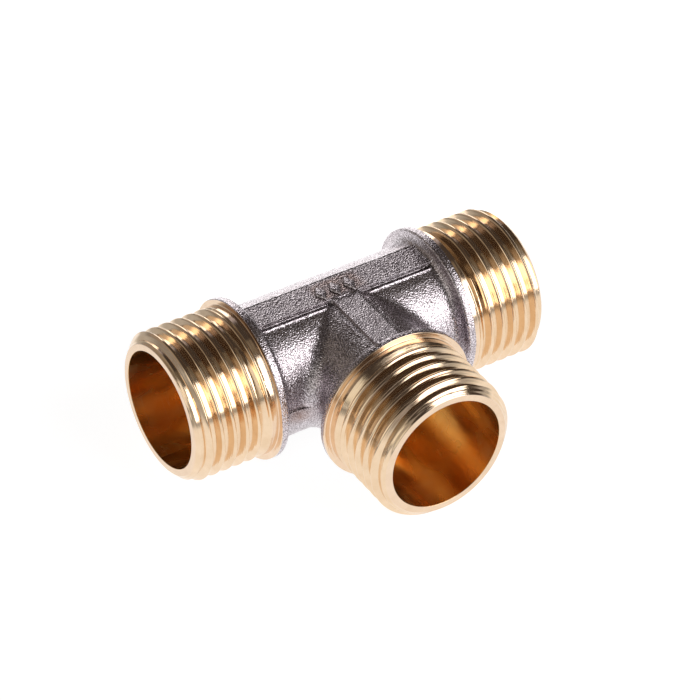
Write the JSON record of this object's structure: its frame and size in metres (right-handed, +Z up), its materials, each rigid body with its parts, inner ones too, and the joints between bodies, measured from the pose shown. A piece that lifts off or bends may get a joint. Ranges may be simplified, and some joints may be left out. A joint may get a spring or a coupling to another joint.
{
  "type": "tee fitting",
  "caption": "Equal tee pipe fitting with male pipe threads on all its ends, a plated forged body with flared collars, and a bore through every branch.",
  "frame": {"origin": "centre of the bounding box, on the plane that the three collars rest on", "axes": "+X along the run from the left end to the right end, -Y along the branch towards its open end, +Z up through the flat pad that carries the raised mark"},
  "size_m": [0.0544, 0.0382, 0.0226],
  "materials": {
    "nickel_plate": "blasted brass under matte nickel plating, grey with a faint violet tint",
    "machined_brass": "bright turned bare brass"
  },
  "bodies": {
    "root": {"forged_body": "nickel_plate", "left_threaded_end": "machined_brass", "right_threaded_end": "machined_brass", "branch_threaded_end": "machined_brass"}
  },
  "joints": []
}
